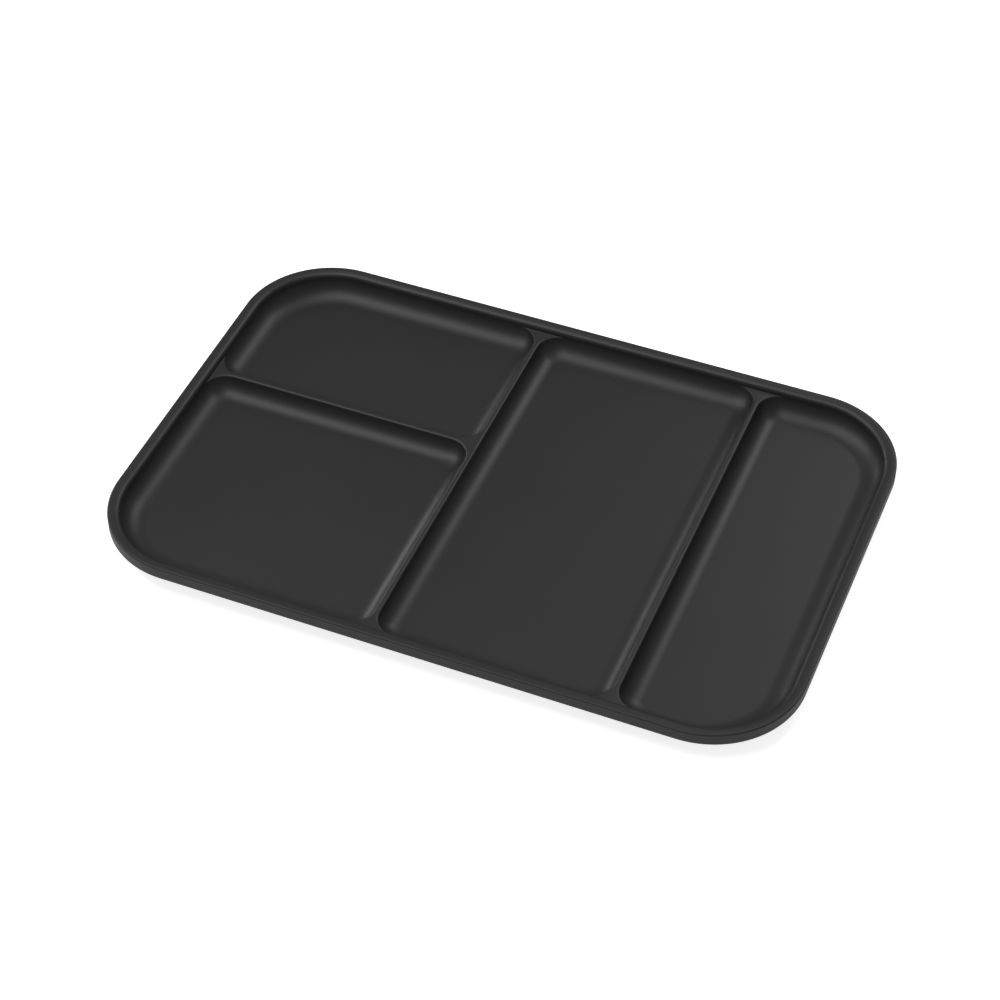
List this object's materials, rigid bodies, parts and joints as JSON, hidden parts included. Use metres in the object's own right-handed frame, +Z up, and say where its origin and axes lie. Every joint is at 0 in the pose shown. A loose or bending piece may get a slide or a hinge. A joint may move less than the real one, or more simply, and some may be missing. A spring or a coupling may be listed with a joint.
{
  "type": "console organizer tray",
  "caption": "Low rounded-rectangle organizer tray: one thin moulded shell with open pockets between low rounded dividers, a slightly crowned rim with a turned-down lip, and round anti-slip pads taped beneath.",
  "frame": {"origin": "on the surface that the pads stand on, under the middle of the tray's outline", "axes": "+X along the long side, towards the single full-depth pocket at the end; +Y across the tray, towards its back edge; +Z up, the way the pockets open"},
  "size_m": [0.3018, 0.2018, 0.0135],
  "materials": {
    "shell": "fine matt moulded grain",
    "pad": "matt moulded rubber",
    "tape": "grey foam with adhesive faces"
  },
  "bodies": {
    "root": {"tray_body": "shell", "foot_back_left": "pad", "foot_front_left": "pad", "foot_back_centre": "pad", "foot_front_centre": "pad", "foot_back_right": "pad", "foot_front_right": "pad", "tape_back_left": "tape", "tape_front_left": "tape", "tape_back_centre": "tape", "tape_front_centre": "tape", "tape_back_right": "tape", "tape_front_right": "tape"}
  },
  "joints": []
}
